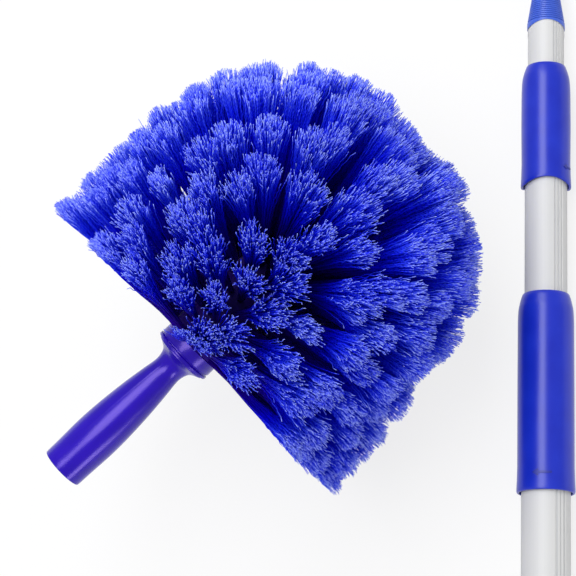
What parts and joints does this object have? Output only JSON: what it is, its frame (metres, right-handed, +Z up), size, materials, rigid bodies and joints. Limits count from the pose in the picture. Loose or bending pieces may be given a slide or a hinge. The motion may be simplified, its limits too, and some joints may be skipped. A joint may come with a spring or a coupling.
{
  "type": "ceiling fan duster",
  "caption": "Round domed brush head with a socket handle, and the telescopic twist-lock pole whose ribbed cone it pushes onto, for dusting fan blades and ceilings from the floor.",
  "frame": {"origin": "on the floor, under the middle of the bounding box of head and pole as they lie", "axes": "+Z up off the floor; the head's axis lies along +X, from socket mouth to bristle crown; the pole lies beside it, turned 48.54 degrees from +X towards +Y, cone end furthest along +Y"},
  "size_m": [0.544, 0.6432, 0.1995],
  "materials": {
    "aluminium": "satin anodised, with fine draw lines along the tube",
    "blue_plastic": "satin moulded polypropylene",
    "soft_grip": "matt, soft",
    "white_nylon": "matt moulded nylon",
    "pin_steel": "plain",
    "violet_plastic": "glossy moulded polypropylene",
    "bristles": "soft flagged filaments in a moulded block"
  },
  "bodies": {
    "outer_section": {"outer_tube": "aluminium", "hand_grip": "soft_grip", "end_cap": "blue_plastic", "lower_collar": "white_nylon"},
    "lower_ring": {"lower_clamp_ring": "white_nylon"},
    "lower_sleeve": {"lower_lock_sleeve": "blue_plastic"},
    "middle_section": {"middle_tube": "aluminium", "middle_foot_bush": "white_nylon", "upper_collar": "white_nylon"},
    "upper_ring": {"upper_clamp_ring": "white_nylon"},
    "upper_sleeve": {"upper_lock_sleeve": "blue_plastic"},
    "inner_section": {"inner_tube": "aluminium", "inner_foot_bush": "white_nylon", "cone_tip": "blue_plastic", "tip_pin_right": "pin_steel", "tip_pin_left": "pin_steel"},
    "head": {"socket_handle": "violet_plastic", "block_base": "violet_plastic", "tuft_row_1": "bristles", "tuft_row_2": "bristles", "tuft_row_3": "bristles", "tuft_row_4": "bristles", "tuft_row_5": "bristles", "tuft_row_6": "bristles", "tuft_row_7": "bristles", "tuft_row_8": "bristles", "tuft_crown": "bristles"}
  },
  "joints": [
    {"name": "middle_slide", "type": "slide", "parent": "outer_section", "child": "middle_section", "axis": [0.6621, 0.7494, 0], "range_m": [-0.0544, 0.355]},
    {"name": "inner_slide", "type": "slide", "parent": "middle_section", "child": "inner_section", "axis": [0.6621, 0.7494, 0], "range_m": [-0.014, 0.415]},
    {"name": "lower_ring_travel", "type": "slide", "parent": "outer_section", "child": "lower_ring", "axis": [0.6621, 0.7494, 0], "range_m": [0, 0.00125]},
    {"name": "lower_lock_twist", "type": "hinge", "parent": "lower_ring", "child": "lower_sleeve", "pos_m": [0.14022, 0.14372, 0.0152], "axis": [0.6621, 0.7494, 0], "range_deg": [0, 150]},
    {"name": "upper_ring_travel", "type": "slide", "parent": "middle_section", "child": "upper_ring", "axis": [0.6621, 0.7494, 0], "range_m": [0, 0.00125]},
    {"name": "upper_lock_twist", "type": "hinge", "parent": "upper_ring", "child": "upper_sleeve", "pos_m": [0.22225, 0.23657, 0.0152], "axis": [0.6621, 0.7494, 0], "range_deg": [0, 150]},
    {"name": "head_lift", "type": "slide", "parent": "outer_section", "child": "head", "axis": [0, 0, 1], "range_m": [0, 0.12]}
  ],
  "couplings": [
    {"joint": "lower_ring_travel", "follows": "lower_lock_twist", "m_per_rad": 0.00047746},
    {"joint": "upper_ring_travel", "follows": "upper_lock_twist", "m_per_rad": 0.00047746}
  ]
}
